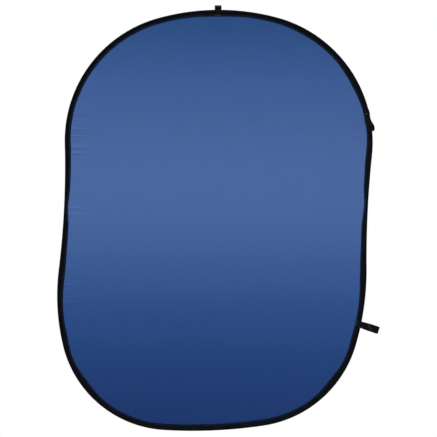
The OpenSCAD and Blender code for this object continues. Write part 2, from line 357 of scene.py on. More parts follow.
def cloth_shift(distance, inset, width):
    """How far the cloth is pushed from the middle plane: by the lips' sway, by fine puckers and
    coarse billows, and by single pleats."""
    past_lips = inset - width
    reach = PUCKER_REACH * (1 + PUCKER_REACH_CHANGE * pucker_length(distance))
    ridges = 1 - PUCKER_RIDGES * np.abs(pucker_fine(distance))
    puckers = PUCKER_SHARE * ridges * inward(past_lips, PUCKER_START, reach)
    billows = BILLOW_SHARE * pucker_coarse(distance) * inward(past_lips, BILLOW_START, BILLOW_REACH)
    shift = MM * pucker_strength(distance) * (puckers + billows)
    for place, half_width, reach, depth in pleats:
        across = bell(round_trip(distance, place) / half_width)
        shift = shift + depth * across * inward(past_lips, PLEAT_START, reach)
    fade = np.exp(-np.maximum(past_lips, 0) / SWAY_REACH)
    return shift + lip_shift(distance, np.minimum(inset, width), width) * fade


# ---- meshes ----


def add_object(name, data):
    obj = bpy.data.objects.new(name, data)
    bpy.context.scene.collection.objects.link(obj)
    return obj


def make_piece(name, points, faces, rest, material, slot, sharp):
    """A closed mesh object, shaded smooth up to a sharp angle. Rest holds each face corner's
    rest coordinates, face by face."""
    mesh = bpy.data.meshes.new(name)
    mesh.from_pydata(np.asarray(points).tolist(), [], faces)
    mesh.uv_layers.new(name=REST_LAYER).data.foreach_set("uv", np.asarray(rest, np.float32).ravel())
    mesh.polygons.foreach_set("use_smooth", np.ones(len(mesh.polygons), bool))
    mesh.set_sharp_from_angle(angle=math.radians(sharp))
    mesh.calc_loop_triangles()
    corners = np.zeros(len(mesh.loop_triangles) * 3, int)
    mesh.loop_triangles.foreach_get("vertices", corners)
    a, b, c = (np.asarray(points)[corners.reshape(-1, 3)[:, i]] for i in range(3))
    if np.einsum("ij,ij->i", a, np.cross(b, c)).sum() < 0:
        mesh.flip_normals()
    mesh.materials.append(material)
    obj = add_object(name, mesh)
    return obj


def tube(rings, along):
    """Points, faces and rest coordinates of a tube through closed rings, with flat ends.
    Rings is (stations, points in a ring, 3), and along is each station's distance."""
    stations, count = rings.shape[:2]
    steps = np.linalg.norm(np.roll(rings, -1, axis=1) - rings, axis=2).mean(axis=0)
    around = np.concatenate(([0], np.cumsum(steps)))
    i, j = np.meshgrid(np.arange(stations - 1), np.arange(count), indexing="ij")
    k = (j + 1) % count
    quads = np.stack([i * count + j, (i + 1) * count + j, (i + 1) * count + k, i * count + k], -1)
    u = along[np.stack([i, i + 1, i + 1, i], -1)]
    v = around[np.stack([j, j, j + 1, j + 1], -1)]
    rest = np.stack([u, v], -1).reshape(-1, 2)
    last = (stations - 1) * count
    caps = [list(range(count))[::-1], list(range(last, last + count))]
    cap_rest = [(along[0], v) for v in around[-2::-1]] + [(along[-1], v) for v in around[:-1]]
    return rings.reshape(-1, 3), quads.reshape(-1, 4).tolist() + caps, np.vstack([rest, cap_rest])


def join_meshes(parts):
    """Several (points, faces, rest) as one."""
    points, faces, rest = zip(*parts, strict=True)
    starts = np.cumsum([0, *(len(part) for part in points)]).tolist()
    shifted = [[c + start for c in face] for start, part in zip(starts, faces) for face in part]
    return np.vstack(points), shifted, np.vstack(rest)


# ---- the rim: binding, band and stitching, in runs between the cuts ----

RIM_STEP = 2.5 * MM
BAND_STEP = 8 * MM


def rim_runs():
    """For each panel piece, the stretches of the edge that it holds, as (from, to)."""
    right, left = ([edge_at_height(height, side) for height in cut_heights] for side in (1, -1))
    strips = [[(right[k - 1], right[k]), (left[k], left[k - 1])] for k in range(1, PIECES - 1)]
    return [[(left[0] - edge_length, right[0])], *strips, [(right[-1], left[-1])]]


def stations(run, step):
    return np.linspace(run[0], run[1], 1 + math.ceil((run[1] - run[0]) / step))


# Where the tape's section has points: by angle round its fold, outside and inside, and by share
# of the slope and of the lip.
OUTER_FOLD = 1 - np.cos(np.radians(np.linspace(8, 90, 6)))
INNER_FOLD = 1 - np.cos(np.radians(np.linspace(80, 8, 4)))
OUTER_SLOPE = np.linspace(0, 1, 9)[1:]
INNER_SLOPE = np.linspace(0.3, 1, 3)
OUTER_LIP = np.linspace(0, 1, 5)[1:]
INNER_LIP = 0.4
LIP_HEM = 0.2 * MM
LIP_TIP = 0.35 * MM


def binding_rings(distance):
    """The tape's section at each distance: its outside in front, its inside, its outside behind."""
    width = rim_width(distance)[:, None]
    lip_start = width - LIP_WIDTH
    place = distance[:, None]
    ones = np.ones_like(width)
    outside = np.hstack(
        [
            EDGE_ROUND * OUTER_FOLD * ones,
            EDGE_ROUND + (lip_start - EDGE_ROUND) * OUTER_SLOPE,
            lip_start + LIP_WIDTH * OUTER_LIP,
        ]
    )
    inside = np.hstack(
        [
            width - LIP_HEM,
            lip_start + INNER_LIP * LIP_WIDTH,
            lip_start,
            lip_start - (lip_start - SHOULDER) * INNER_SLOPE,
            TAPE + (EDGE_ROUND - TAPE) * INNER_FOLD * ones,
        ]
    )
    halves = []
    for face in (1, -1):
        sway = lip_shift(place, outside, width)
        out = np.stack([outside, face * rim_height(place, outside, width, face) + sway], -1)
        inner_slope = smoothstep((lip_start - inside) / (lip_start - SHOULDER))
        corner = np.clip(1 - (inside - TAPE) / (EDGE_ROUND - TAPE), 0, 1) ** EDGE_POWER
        inner_height = HALF_SLOT + (HALF_RIM - TAPE - HALF_SLOT) * inner_slope
        inner_height = inner_height * (1 - corner) ** (1 / EDGE_POWER)
        sway = lip_shift(place, inside, width)
        inn = np.stack([inside, face * inner_height + sway], -1)
        tip = (out[:, -1:] + inn[:, :1]) / 2 + [LIP_TIP, 0]
        halves.append(np.concatenate([out, tip, inn], axis=1))
    return np.concatenate([halves[0], halves[1][:, ::-1]], axis=1)


def section_in_space(distance, section):
    """Puts sections of (inset, height to the front) at their distances along the edge."""
    point, outward, _ = edge_at(distance)
    flat = point[:, None, :] - section[..., :1] * outward[:, None, :]
    return in_space(flat, section[..., 1])


BAND_INSET = 1.8 * MM
BAND_THICKNESS = 1.2 * MM
BAND_HALF_WIDTH = 4.5 * MM
BAND_BEVEL = 0.25 * MM


def band_section():
    """A flat strip with eased corners."""
    near, far = BAND_INSET, BAND_INSET + BAND_THICKNESS
    wide, bevel = BAND_HALF_WIDTH, BAND_BEVEL
    corners = [(near, wide - bevel), (near + bevel, wide), (far - bevel, wide), (far, wide - bevel)]
    return np.array(corners + [(inset, -height) for inset, height in corners[::-1]])


# One stitch: a short thread that dips into the tape at both ends. Each row is a place along
# it as a share of its length, a height over the tape in millimetres, and a share of its radius.
STITCH_LENGTH = 3.3 * MM
STITCH_PITCH = 4.3 * MM
THREAD_RADIUS = 0.32 * MM
STITCH_SHAPE = (
    (-0.5, -0.30, 0.4),
    (-0.36, 0.0, 0.9),
    (0, 0.16, 1),
    (0.36, 0.0, 0.9),
    (0.5, -0.30, 0.4),
)
THREAD_SIDES = 6


def stitches(place, along, out, length, radius):
    """Threads at places in space, each lying along a direction on a surface that faces out."""
    across = np.cross(out, along)
    angle = np.arange(THREAD_SIDES) * 2 * math.pi / THREAD_SIDES
    share, height, thick = (np.array(row)[:, None] for row in zip(*STITCH_SHAPE, strict=True))
    thick = thick * radius
    rings = [share * length + 0 * angle, height * MM + thick * np.sin(angle), thick * np.cos(angle)]
    template, faces, rest = tube(np.stack(rings, axis=-1), share[:, 0] * length)
    axes = zip(template.T, (along, out, across), strict=True)
    points = place[:, None, :] + sum(part[:, None] * axis[:, None, :] for part, axis in axes)
    count, size = len(place), len(template)
    starts = range(0, count * size, size)
    many = [[corner + start for corner in face] for start in starts for face in faces]
    shift = np.zeros((count, 1, 2))
    shift[:, 0, 0] = np.arange(count) * STITCH_PITCH
    return points.reshape(-1, 3), many, (rest[None] + shift).reshape(-1, 2)


ROW_INSETS = (2 * MM, 5.8 * MM)


def stitch_rows(run):
    """Both rows on both faces along one run, each row at its own distance from the lips' tips."""
    parts = []
    count = int((run[1] - run[0]) / STITCH_PITCH)
    distance = run[0] + (np.arange(count) + 0.5) * (run[1] - run[0]) / count
    width = rim_width(distance)
    point, outward, along = edge_at(distance)
    for face in (1, -1):
        for row in ROW_INSETS:
            inset = width - row
            height = face * rim_height(distance, inset, width, face)
            height = height + lip_shift(distance, inset, width)
            place = in_space(point - inset[:, None] * outward, height)
            out = np.broadcast_to(face * FRONT, place.shape)
            parts.append(stitches(place, in_space(along), out, STITCH_LENGTH, THREAD_RADIUS))
    return join_meshes(parts)


BAND_SLIT = 1 * MM


def band_runs(run):
    """A run of the edge as it is, or cut in two where the band's ends meet in the ferrule."""
    slit = FERRULE_PLACE - edge_length
    if not run[0] < slit < run[1]:
        return [run]
    return [(run[0], slit - BAND_SLIT / 2), (slit + BAND_SLIT / 2, run[1])]


def make_rim():
    """Binding, band and stitching of every panel piece."""
    made = []
    band_ring = band_section()
    for k, runs in enumerate(rim_runs()):
        bindings, bands, threads = [], [], []
        for run in runs:
            distance = stations(run, RIM_STEP)
            rings = section_in_space(distance, binding_rings(distance))
            points, faces, rest = tube(rings, distance)
            bindings.append((points, faces, rest - [0, rest[:, 1].max() / 2]))
            threads.append(stitch_rows(run))
            for part in band_runs(run):
                distance = stations(part, BAND_STEP)
                section = np.broadcast_to(band_ring, (len(distance), *band_ring.shape))
                bands.append(tube(section_in_space(distance, section), distance))
        kinds = (
            ("binding", bindings, binding_look, "binding_tape", 60),
            ("band", bands, steel_look, "spring_steel", 30),
            ("stitching", threads, thread_look, "thread", 80),
        )
        made.append(
            [make_piece(f"{kind}_{k + 1}", *join_meshes(parts), *look) for kind, parts, *look in kinds]
        )
    return made


# ---- the cloth ----

CLOTH_STEP = 3.6 * MM
CLOTH_GRID = 10 * MM
RING_INSETS = np.array([1, 4, 8, 13, 19, 26, 34, 43, 52, 61, 70, 80, 90]) * MM
WAVE_HEIGHT = 1.6 * MM
WAVE_SIZE = 0.42
WAVE_START = 0.2
CLEAR_OF_CUT = 3 * MM
MERGE_DISTANCE = 1e-7


def sheet_outline(distance, inset):
    """Points (x, z) at an inset from the edge."""
    point, outward, _ = edge_at(distance)
    return point - np.asarray(inset)[..., None] * outward


def cloth_net():
    """Points and triangles of the whole sheet in the middle plane, as (x, z). Rings of points
    follow the rim and a grid fills the middle. Cut lines are edges of the net."""
    count = round(edge_length / CLOTH_STEP)
    distance = (np.arange(count) + 0.5) * edge_length / count
    width = rim_width(distance)
    crossings = [edge_at_height(height, side) for height in cut_heights for side in (1, -1)]
    edge_distance = np.sort(np.concatenate([distance, crossings]))
    border = sheet_outline(edge_distance, rim_width(edge_distance) - CLOTH_TUCK)
    points = [border]
    segments = []
    start = len(border)
    for height in cut_heights:
        row = np.abs(border[:, 1] - height)
        on_right = border[:, 0] > 0
        ends = [int(np.argmin(row + np.where(on_right == side, 0, 1))) for side in (False, True)]
        border[ends, 1] = height
        left, right = border[ends, 0]
        inner = np.arange(left + CLOTH_GRID, right - CLOTH_GRID / 2, CLOTH_GRID)
        points.append(np.stack([inner, np.full(len(inner), height)], -1))
        chain = [ends[0], *range(start, start + len(inner)), ends[1]]
        segments += list(zip(chain[:-1], chain[1:], strict=True))
        start += len(inner)
    for inset in RING_INSETS:
        points.append(sheet_outline(distance, width + inset))
    spans = zip(border.min(axis=0), border.max(axis=0), strict=True)
    x, z = np.meshgrid(*(np.arange(low, high, CLOTH_GRID) for low, high in spans), indexing="ij")
    grid = np.stack([x.ravel(), z.ravel()], -1)
    _, inset = nearest_edge(grid)
    points.append(grid[inset > RIM_WIDTH + RING_INSETS[-1] + CLOTH_GRID / 2])
    free = np.vstack(points[1 + len(cut_heights) :])
    clear = np.min(np.abs(free[:, 1:2] - np.array(cut_heights)), axis=1) > CLEAR_OF_CUT
    points = np.vstack([*points[: 1 + len(cut_heights)], free[clear]])
    outline = [list(range(len(border)))]
    vectors = [Vector(point) for point in points.tolist()]
    net = geometry.delaunay_2d_cdt(vectors, segments, outline, 1, MERGE_DISTANCE)
    return np.array([tuple(point) for point in net[0]]), np.array(net[2])


EDGE_STEP = 2 * MM
edge_samples = np.arange(0, edge_length, EDGE_STEP)
edge_tree = kdtree.KDTree(len(edge_samples))
for index, sample in enumerate(edge_at(edge_samples)[0]):
    edge_tree.insert((sample[0], sample[1], 0), index)
edge_tree.balance()


def nearest_edge(flat):
    """For points (x, z) inside the panel, the distance along the edge nearest to each, and its
    inset. A point outside gets a negative inset."""
    found = [edge_tree.find((x, z, 0))[1] for x, z in flat.tolist()]
    distance = edge_samples[found]
    point, outward, along = edge_at(distance)
    offset = flat - point
    inset = -np.einsum("ij,ij->i", offset, outward)
    return distance + np.einsum("ij,ij->i", offset, along), inset


def make_cloth():
    """The sheet in one piece for each fold, each with its flat area."""
    flat, triangles = cloth_net()
    distance, inset = nearest_edge(flat)
    width = rim_width(distance)
    waves = [noise.noise(Vector((x / WAVE_SIZE, z / WAVE_SIZE, 0.5))) for x, z in flat.tolist()]
    slack = smoothstep((inset - width) / WAVE_START)
    depth = cloth_shift(distance, inset, width) + WAVE_HEIGHT * np.array(waves) * slack
    owner = piece_at(flat[triangles].mean(axis=1)[:, 1])
    made = []
    for k in range(PIECES):
        kept, faces = np.unique(triangles[owner == k], return_inverse=True)
        faces = faces.reshape(-1, 3)
        size = len(kept)
        half = CLOTH_THICKNESS / 2
        shells = [in_space(flat[kept], depth[kept] + offset) for offset in (half, -half)]
        sides = np.vstack([faces[:, [0, 1]], faces[:, [1, 2]], faces[:, [2, 0]]])
        _, which, times = np.unique(np.sort(sides, axis=1), axis=0, return_index=True, return_counts=True)
        border = sides[which[times == 1]]
        walls = np.stack([border[:, 1], border[:, 0], border[:, 0] + size, border[:, 1] + size], -1)
        covers = np.vstack([faces, faces[:, ::-1] + size])
        rest = np.vstack([flat[kept]] * 2)[np.concatenate([covers.ravel(), walls.ravel()])]
        mesh = np.vstack(shells), covers.tolist() + walls.tolist(), rest
        cloth = make_piece(f"cloth_{k + 1}", *mesh, cloth_look, "backdrop_cloth", 50)
        a, b, c = (flat[kept][faces[:, i]] for i in range(3))
        twice = (b - a)[:, 0] * (c - a)[:, 1] - (b - a)[:, 1] * (c - a)[:, 0]
        made.append((cloth, float(np.abs(twice).sum() / 2)))
    return made


# ---- webbing straps ----

WEBBING = 1.6 * MM
STRAP_STEP = 0.5 * MM
ROUNDINGS = 3
EYE_POINTS = 15
WEAVE_RELIEF = 0.15 * MM
RIB_PITCH = 2.0 * MM
YARN_PITCH = 2.6 * MM
# The strap's section: the width of its rounded edges, and the corner between edge and face, as
# a distance in from the edge and a share of half the thickness.
SELVAGE = 0.5 * MM
SELVAGE_CORNER = (0.15 * MM, 0.6)
# Where the shares of a strap's reach or length below have their effect.
PINCH_START = 0.86
FAN_REACH = 0.45
LAYER_SWAP = 0.025
SLIP_PLACE, SLIP_REACH = 0.72, 0.17
# How far the painted highlight at a strap's tip reaches, as a share of its length.
TIP_HIGHLIGHT_REACH = 0.07
TUCK_REACH, TUCK_DONE = 50 * MM, 0.3
CREASE_SLANT = 1.0
CREASE_HEIGHT = 2.2 * MM
CREASE_WIDTH = 4.0 * MM
# How strong the painted highlight along a crease is.
CREASE_HIGHLIGHT = 0.5


def rounded_path(corners, spacing):
    """A polyline with its corners cut round, as points a spacing apart."""
    points = np.array(corners, float)
    for _ in range(ROUNDINGS):
        near = points[:-1] * 0.75 + points[1:] * 0.25
        far = points[:-1] * 0.25 + points[1:] * 0.75
        middle = np.stack([near, far], axis=1).reshape(-1, 2)
        points = np.vstack([points[:1], middle, points[-1:]])
    length = np.concatenate(([0], np.cumsum(np.linalg.norm(np.diff(points, axis=0), axis=1))))
    even = np.linspace(0, length[-1], 1 + round(length[-1] / spacing))
    return np.stack([np.interp(even, length, points[:, i]) for i in range(2)], -1), even


def eye_corners(reach, radius, neck):
    """A teardrop eye, from its upper side round the tip to its lower side."""
    turn = math.pi / 2 + math.asin((radius - neck) / reach)
    angles = np.linspace(turn, -turn, EYE_POINTS)
    return [(reach + radius * math.cos(a), radius * math.sin(a)) for a in angles]


def webbing_strap(
    name, corners, origin, direction, width, fan=0, pinch=0, crease=None, tuck=0, painted_highlight=0, slip=0
):
    """A strap along a path of (distance in a direction, height to the front) from an origin.
    Fan is how far its two layers splay to either side, pinch is the share of its width that it
    loses at the tip, and the tip carries a painted grey highlight of the given strength. Crease is
    where a slanting fold crosses it, with a painted highlight along the fold, tuck is the width that
    is hidden in the rim's seam at the root, and slip is how far the layer nearest the rim has slid
    out from under the other."""
    path, length = rounded_path(corners, STRAP_STEP)
    sideways = np.cross(direction, FRONT)
    reach = np.clip(path[:, 0] / path[:, 0].max(), 0, 1)
    past_tip = length / length[-1] - 0.5
    swap = np.tanh(past_tip / LAYER_SWAP)
    splay = fan * smoothstep(reach / FAN_REACH) * swap
    splay = splay - slip * bell((reach - SLIP_PLACE) / SLIP_REACH) * (1 - swap) / 2
    centre = origin + path[:, :1] * direction + path[:, 1:] * FRONT + splay[:, None] * sideways
    along = unit(np.gradient(centre, axis=0))
    across = unit(sideways - (along @ sideways)[:, None] * along)
    out = np.cross(along, across)
    half, thick = width / 2, WEBBING / 2
    face = np.linspace(SELVAGE - half, half - SELVAGE, round(width / STRAP_STEP))
    corner, low = half - SELVAGE_CORNER[0], SELVAGE_CORNER[1] * thick
    upper = [(-half, 0), (-corner, low), *[(x, thick) for x in face], (corner, low), (half, 0)]
    ring = np.array(upper + [(x, -y) for x, y in upper[-2:0:-1]])
    ribs = np.sin(2 * math.pi * length / RIB_PITCH)[:, None]
    yarns = np.sin(2 * math.pi * ring[None, :, 0] / YARN_PITCH)
    on_face = (np.abs(ring[:, 1]) > low) * np.sign(ring[:, 1])
    height = ring[None, :, 1] + WEAVE_RELIEF * ribs * yarns * on_face
    # Painted highlight: grey colour at the tip's fold, where light catches it.
    highlight = painted_highlight * bell(past_tip / TIP_HIGHLIGHT_REACH)[:, None] + 0 * height
    if crease is not None:
        from_crease = path[:, :1] - crease - CREASE_SLANT * ring[None, :, 0]
        fold = bell(from_crease / CREASE_WIDTH) * (past_tip > 0)[:, None]
        height = height + CREASE_HEIGHT * fold
        # Painted highlight along the crease.
        highlight = highlight + CREASE_HIGHLIGHT * fold
    breadth = 1 - pinch * smoothstep((reach - PINCH_START) / (1 - PINCH_START))
    hidden = tuck * (1 - smoothstep(path[:, 0] / TUCK_REACH + TUCK_DONE)) / width
    offset = ring[None, :, 0] * (breadth - hidden)[:, None] - (hidden * half)[:, None]
    rings = centre[:, None, :] + offset[..., None] * across[:, None, :]
    rings = rings + height[..., None] * out[:, None, :]
    strap = make_piece(name, *tube(rings, length), webbing_look, "webbing", 60)
    for layer, values in ((WEAVE_LAYER, np.abs(ribs * yarns)), (PAINTED_HIGHLIGHT_LAYER, highlight)):
        attribute = strap.data.attributes.new(layer, "FLOAT", "POINT")
        attribute.data.foreach_set("value", values.ravel())
    return strap


TACK_LENGTH = 1.9 * MM
TACK_PITCH = 0.62 * MM
TACK_RADIUS = 0.26 * MM
TACK_SLANT = 0.25
TACK_MARGIN = 2 * MM


def bar_tacks(loop, lobe, centres, direction, sideways, width, faces_out):
    """Dense zigzag rows across a loop's strap. Each centre is the middle of a row."""
    parts = []
    count = int((width - 2 * TACK_MARGIN) / TACK_PITCH)
    offset = (np.arange(count) - (count - 1) / 2) * TACK_PITCH
    slant = np.where(np.arange(count) % 2 == 0, TACK_SLANT, -TACK_SLANT)[:, None]
    along = unit(direction + slant * sideways)
    for centre, out in zip(centres, faces_out, strict=True):
        place = np.asarray(centre) + offset[:, None] * sideways
        out = np.broadcast_to(out, place.shape)
        parts.append(stitches(place, along, out, TACK_LENGTH, TACK_RADIUS))
    tacks = make_piece(f"{loop}_tacks", *join_meshes(parts), thread_look, "thread", 80)
    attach(tacks, lobe)
    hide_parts(f"{loop}_loop_tacks")


TAIL_OVER_LIP = 1.85 * MM
TAIL_OVER_RIM = 6.35 * MM
TAIL_STEP = 0.5 * MM
SEAM_MARGIN = 0.4 * MM


def over_rim(place, stop, past):
    """The line of a strap's middle across the rim, from the seam outward to where it stops.
    Stop and past are its last two places, past the edge positive."""
    half = WEBBING / 2
    width = float(rim_width(place))
    return [
        (SEAM_MARGIN - width, TAIL_OVER_LIP + half),
        (LIP_WIDTH - width, TAIL_OVER_LIP + half),
        (-SHOULDER - TAIL_STEP, TAIL_OVER_RIM + half),
        (past, TAIL_OVER_RIM + half),
        (stop, TAIL_OVER_RIM + half),
    ]


def hinge_of(name):
    """A joint's place."""
    return np.array(next(joint["pos_m"] for joint in frame["joints"] if joint["name"] == name))


TACK_ROWS = (2 * MM, 4.5 * MM, 7 * MM)

TOP_WIDTH = 32 * MM
TOP_NECK = 4 * MM
TOP_REACH = 11 * MM
TOP_EYE = 5 * MM
# How strong the painted highlight on the top loop's fold is.
TOP_HIGHLIGHT = 1.0
# How each layer comes off the rim's edge into the neck, as (distance up, height).
TOP_SHOULDER = ((2.2, 5.6), (2.8, 2.6), (3.6, 1.0), (6.0, 1.3))
TOP_END = 0.6 * MM

SIDE_EYE = 4 * MM

UPPER_WIDTH = 26 * MM
UPPER_REACH = 73 * MM
UPPER_ROOT = 14 * MM
UPPER_DIRECTION = -69
UPPER_LEAN = 3
UPPER_HABITS = {"fan": 3.4 * MM, "pinch": 0.18, "tuck": 7 * MM, "slip": 3.8 * MM}
UPPER_TACK_ROWS = (-12 * MM, -9.5 * MM, -7 * MM)
UPPER_TACK_SHIFT = 0.6
ANCHOR_END, ANCHOR_PAST = 1.2 * MM, 0.4 * MM

LOWER_WIDTH = 32 * MM
LOWER_REACH = 78 * MM
LOWER_ROOT = 4 * MM
LOWER_END, LOWER_PAST = 2 * MM, 0.5 * MM
LOWER_DIRECTION = -18
LOWER_RAISE = 2.8 * MM
LOWER_HABITS = {"fan": 1.8 * MM, "pinch": 0.06, "crease": 42 * MM}


def bend_strap(strap):
    """Bakes a strap's place into its mesh."""
    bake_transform(strap)


def make_top_loop():
    """Its two ends go down the front and the back of the rim, and the eye stands above."""
    up, right = np.array([0, 0, 1.0]), np.array([1.0, 0, 0])
    crown = crown_height * up
    eye = eye_corners(TOP_REACH, TOP_EYE + WEBBING / 2, WEBBING)
    eye = [(TOP_NECK + along, height) for along, height in eye]
    front = over_rim(TOP_LOOP_PLACE, TOP_END, 0)
    front += [(along * MM, height * MM) for along, height in TOP_SHOULDER]
    back = [(along, -height) for along, height in front[::-1]]
    # The eye's fold carries a painted highlight.
    strap = webbing_strap("top_strap", front + eye + back, crown, up, TOP_WIDTH, painted_highlight=TOP_HIGHLIGHT)
    bend_strap(strap)
    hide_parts("top_loop", "top_loop_tail")
    outs = [FRONT] * 3 + [-FRONT] * 3
    surface = TAIL_OVER_LIP + WEBBING
    seam = crown - float(rim_width(TOP_LOOP_PLACE)) * up
    centres = [seam + surface * out + row * up for out, row in zip(outs, TACK_ROWS * 2, strict=True)]
    bar_tacks("top", "upper_lobe", centres, up, right, TOP_WIDTH, outs)


def side_eye(height, lean, reach):
    """A side loop's two layers and eye, from the layer nearest the rim round to the other."""
    eye = eye_corners(reach, SIDE_EYE + WEBBING / 2, WEBBING / 2)
    slope = math.tan(math.radians(lean))
    return [(along, height + along * slope - up) for along, up in eye]


def side_frame(joint, degrees):
    """A side loop's hinge, its place in the middle plane, and its two directions."""
    hinge = hinge_of(joint)
    along = np.array([math.cos(math.radians(degrees)), 0, math.sin(math.radians(degrees))])
    return hinge, hinge * [1, 0, 1], along, np.cross(along, FRONT)


def make_upper_side_loop():
    """It hangs along the rim's front, sewn to a short anchor of webbing over the rim."""
    hinge, origin, along, sideways = side_frame("upper_side_loop_swing", UPPER_DIRECTION)
    height = -hinge[1]
    near, far = height - WEBBING / 2, height + WEBBING / 2
    corners = [(-UPPER_ROOT, near), (0, near), *side_eye(height, UPPER_LEAN, UPPER_REACH)]
    corners += [(0, far), (-UPPER_ROOT, far)]
    strap = webbing_strap("upper_side_strap", corners, origin, along, UPPER_WIDTH, **UPPER_HABITS)
    bend_strap(strap)
    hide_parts("upper_side_loop")

    edge, outward, _ = (in_space(part) for part in edge_at(UPPER_LOOP_PLACE))
    path = over_rim(UPPER_LOOP_PLACE, ANCHOR_END, ANCHOR_PAST)
    anchor = webbing_strap("upper_side_anchor", path, edge, outward, UPPER_WIDTH)
    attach(anchor, "upper_lobe")
    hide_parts("upper_side_loop_tail")

    tuck = UPPER_HABITS["tuck"]
    top = origin + (height + WEBBING) * FRONT - UPPER_TACK_SHIFT * tuck * sideways
    centres = [top + row * along for row in UPPER_TACK_ROWS]
    width = UPPER_WIDTH - tuck
    bar_tacks("upper_side", "upper_lobe", centres, along, sideways, width, [FRONT] * 3)


def make_lower_side_loop():
    """Both its layers come over the rim's front from the seam, and it stands out past the edge."""
    hinge, origin, along, sideways = side_frame("lower_side_loop_swing", LOWER_DIRECTION)
    origin = origin - LOWER_RAISE * sideways
    path = over_rim(LOWER_LOOP_PLACE, LOWER_END, LOWER_PAST)
    near = [(reach - LOWER_ROOT, height) for reach, height in path]
    far = [(reach, height + WEBBING) for reach, height in near]
    corners = near + side_eye(-hinge[1], 0, LOWER_REACH) + far[::-1]
    strap = webbing_strap("lower_side_strap", corners, origin, along, LOWER_WIDTH, **LOWER_HABITS)
    bend_strap(strap)
    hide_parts("lower_side_loop", "lower_side_loop_tail")

    seam = origin + (TAIL_OVER_LIP + 2 * WEBBING) * FRONT + near[0][0] * along
    centres = [seam + row * along for row in TACK_ROWS]
    bar_tacks("lower_side", "lower_lobe", centres, along, sideways, LOWER_WIDTH, [FRONT] * 3)


# ---- materials ----


class Look:
    """A material whose nodes are added and linked one call at a time."""

    def __init__(self, name):
        self.material = bpy.data.materials.new(name)
        self.material.use_nodes = True
        self.tree = self.material.node_tree
        self.shader = self.tree.nodes["Principled BSDF"]

    def node(self, kind, settings=None, **inputs):
        """A new node. An input is named with _ for a space."""
        made = self.tree.nodes.new(kind)
        for key, value in (settings or {}).items():
            setattr(made, key, value)
        for key, value in inputs.items():
            self.feed(made.inputs[key.replace("_", " ")], value)
        return made

    def feed(self, socket, value):
        """Links a socket, or sets it to a constant."""
        if isinstance(value, bpy.types.NodeSocket):
            self.tree.links.new(value, socket)
        else:
            socket.default_value = value

    def math(self, operation, *values):
        made = self.node("ShaderNodeMath", {"operation": operation})
        for i, value in enumerate(values):
            self.feed(made.inputs[i], value)
        return made.outputs[0]

    def rest(self, across, along):
        """Rest coordinates, scaled."""
        uv = self.node("ShaderNodeUVMap", {"uv_map": REST_LAYER}).outputs[0]
        scaled = self.node("ShaderNodeVectorMath", {"operation": "MULTIPLY"})
        self.feed(scaled.inputs[0], uv)
        self.feed(scaled.inputs[1], (across, along, 1))
        return scaled.outputs[0]

    def rest_axis(self, axis):
        """One of the rest coordinates."""
        uv = self.node("ShaderNodeUVMap", {"uv_map": REST_LAYER}).outputs[0]
        return self.node("ShaderNodeSeparateXYZ", Vector=uv).outputs[axis]

    def layer(self, name):
        """A value kept at the mesh's points."""
        return self.node("ShaderNodeAttribute", {"attribute_name": name}).outputs["Fac"]

    def noise(self, across, along, detail=2.0):
        """Noise from 0 to 1 with so many lumps a metre each way."""
        rest = self.rest(across, along)
        return self.node("ShaderNodeTexNoise", Vector=rest, Scale=1.0, Detail=detail).outputs["Fac"]

    def solid_noise(self, scale, detail):
        """The same in space, for a mesh with no rest coordinates."""
        place = self.node("ShaderNodeTexCoord").outputs["Object"]
        made = self.node("ShaderNodeTexNoise", Vector=place, Scale=scale, Detail=detail)
        return made.outputs["Fac"]

    def blend(self, share, a, b):
        """A share of one value and the rest of another."""
        parts = [self.math("MULTIPLY", value, part) for value, part in ((a, share), (b, 1 - share))]
        return self.math("ADD", *parts)

    def wave(self, across, along):
        """A sine from 0 to 1 with so many turns a metre each way."""
        split = self.node("ShaderNodeSeparateXYZ", Vector=self.rest(across, along))
        turns = self.math("ADD", split.outputs[0], split.outputs[1])
        angle = self.math("MULTIPLY", turns, 2 * math.pi)
        return self.math("MULTIPLY_ADD", self.math("SINE", angle), 0.5, 0.5)

    def ramp(self, value, stops):
        """A colour or grey for a value, from stops of (place, colour)."""
        made = self.node("ShaderNodeValToRGB", Fac=value)
        made.color_ramp.interpolation = "CARDINAL"
        elements = made.color_ramp.elements
        while len(elements) < len(stops):
            elements.new(0.5)
        for element, (place, colour) in zip(elements, stops, strict=True):
            element.position = place
            element.color = (*np.broadcast_to(colour, 3).tolist(), 1)
        return made.outputs["Color"]

    def smooth_range(self, value, low, high):
        """0 below the low end of a range, 1 above its high end, and smooth between."""
        smooth = {"interpolation_type": "SMOOTHSTEP"}
        made = self.node("ShaderNodeMapRange", smooth, Value=value, From_Min=low, From_Max=high)
        return made.outputs[0]

    def mix(self, share, a, b, kind="MIX"):
        made = self.node("ShaderNodeMix", {"data_type": "RGBA", "blend_type": kind})
        for i, value in ((0, share), (6, a), (7, b)):
            self.feed(made.inputs[i], value)
        return made.outputs[2]

    def multiply(self, a, b):
        return self.mix(1.0, a, b, "MULTIPLY")

    def bump(self, height, distance, strength, **normal):
        sizes = {"Height": height, "Distance": distance, "Strength": strength}
        return self.node("ShaderNodeBump", **sizes, **normal).outputs[0]

    def set(self, **inputs):
        """Sets or links the shader's own sockets."""
        for key, value in inputs.items():
            self.feed(self.shader.inputs[key.replace("_", " ")], value)


# The cloth's blue from its foot to its crown with painted light in it: a painted pool of light a
# little above the middle and painted shade towards the foot and the crown, as (share of the
# height, linear colour).
CLOTH_BLUE_AND_PAINTED_LIGHT = [
    (0.0, (0.008, 0.030, 0.126)),
    (0.19, (0.014, 0.049, 0.169)),
    (0.31, (0.026, 0.070, 0.217)),
    (0.43, (0.044, 0.098, 0.265)),
    (0.58, (0.058, 0.116, 0.299)),
    (0.73, (0.049, 0.103, 0.273)),
    (0.86, (0.035, 0.084, 0.239)),
    (1.0, (0.016, 0.057, 0.171)),
]


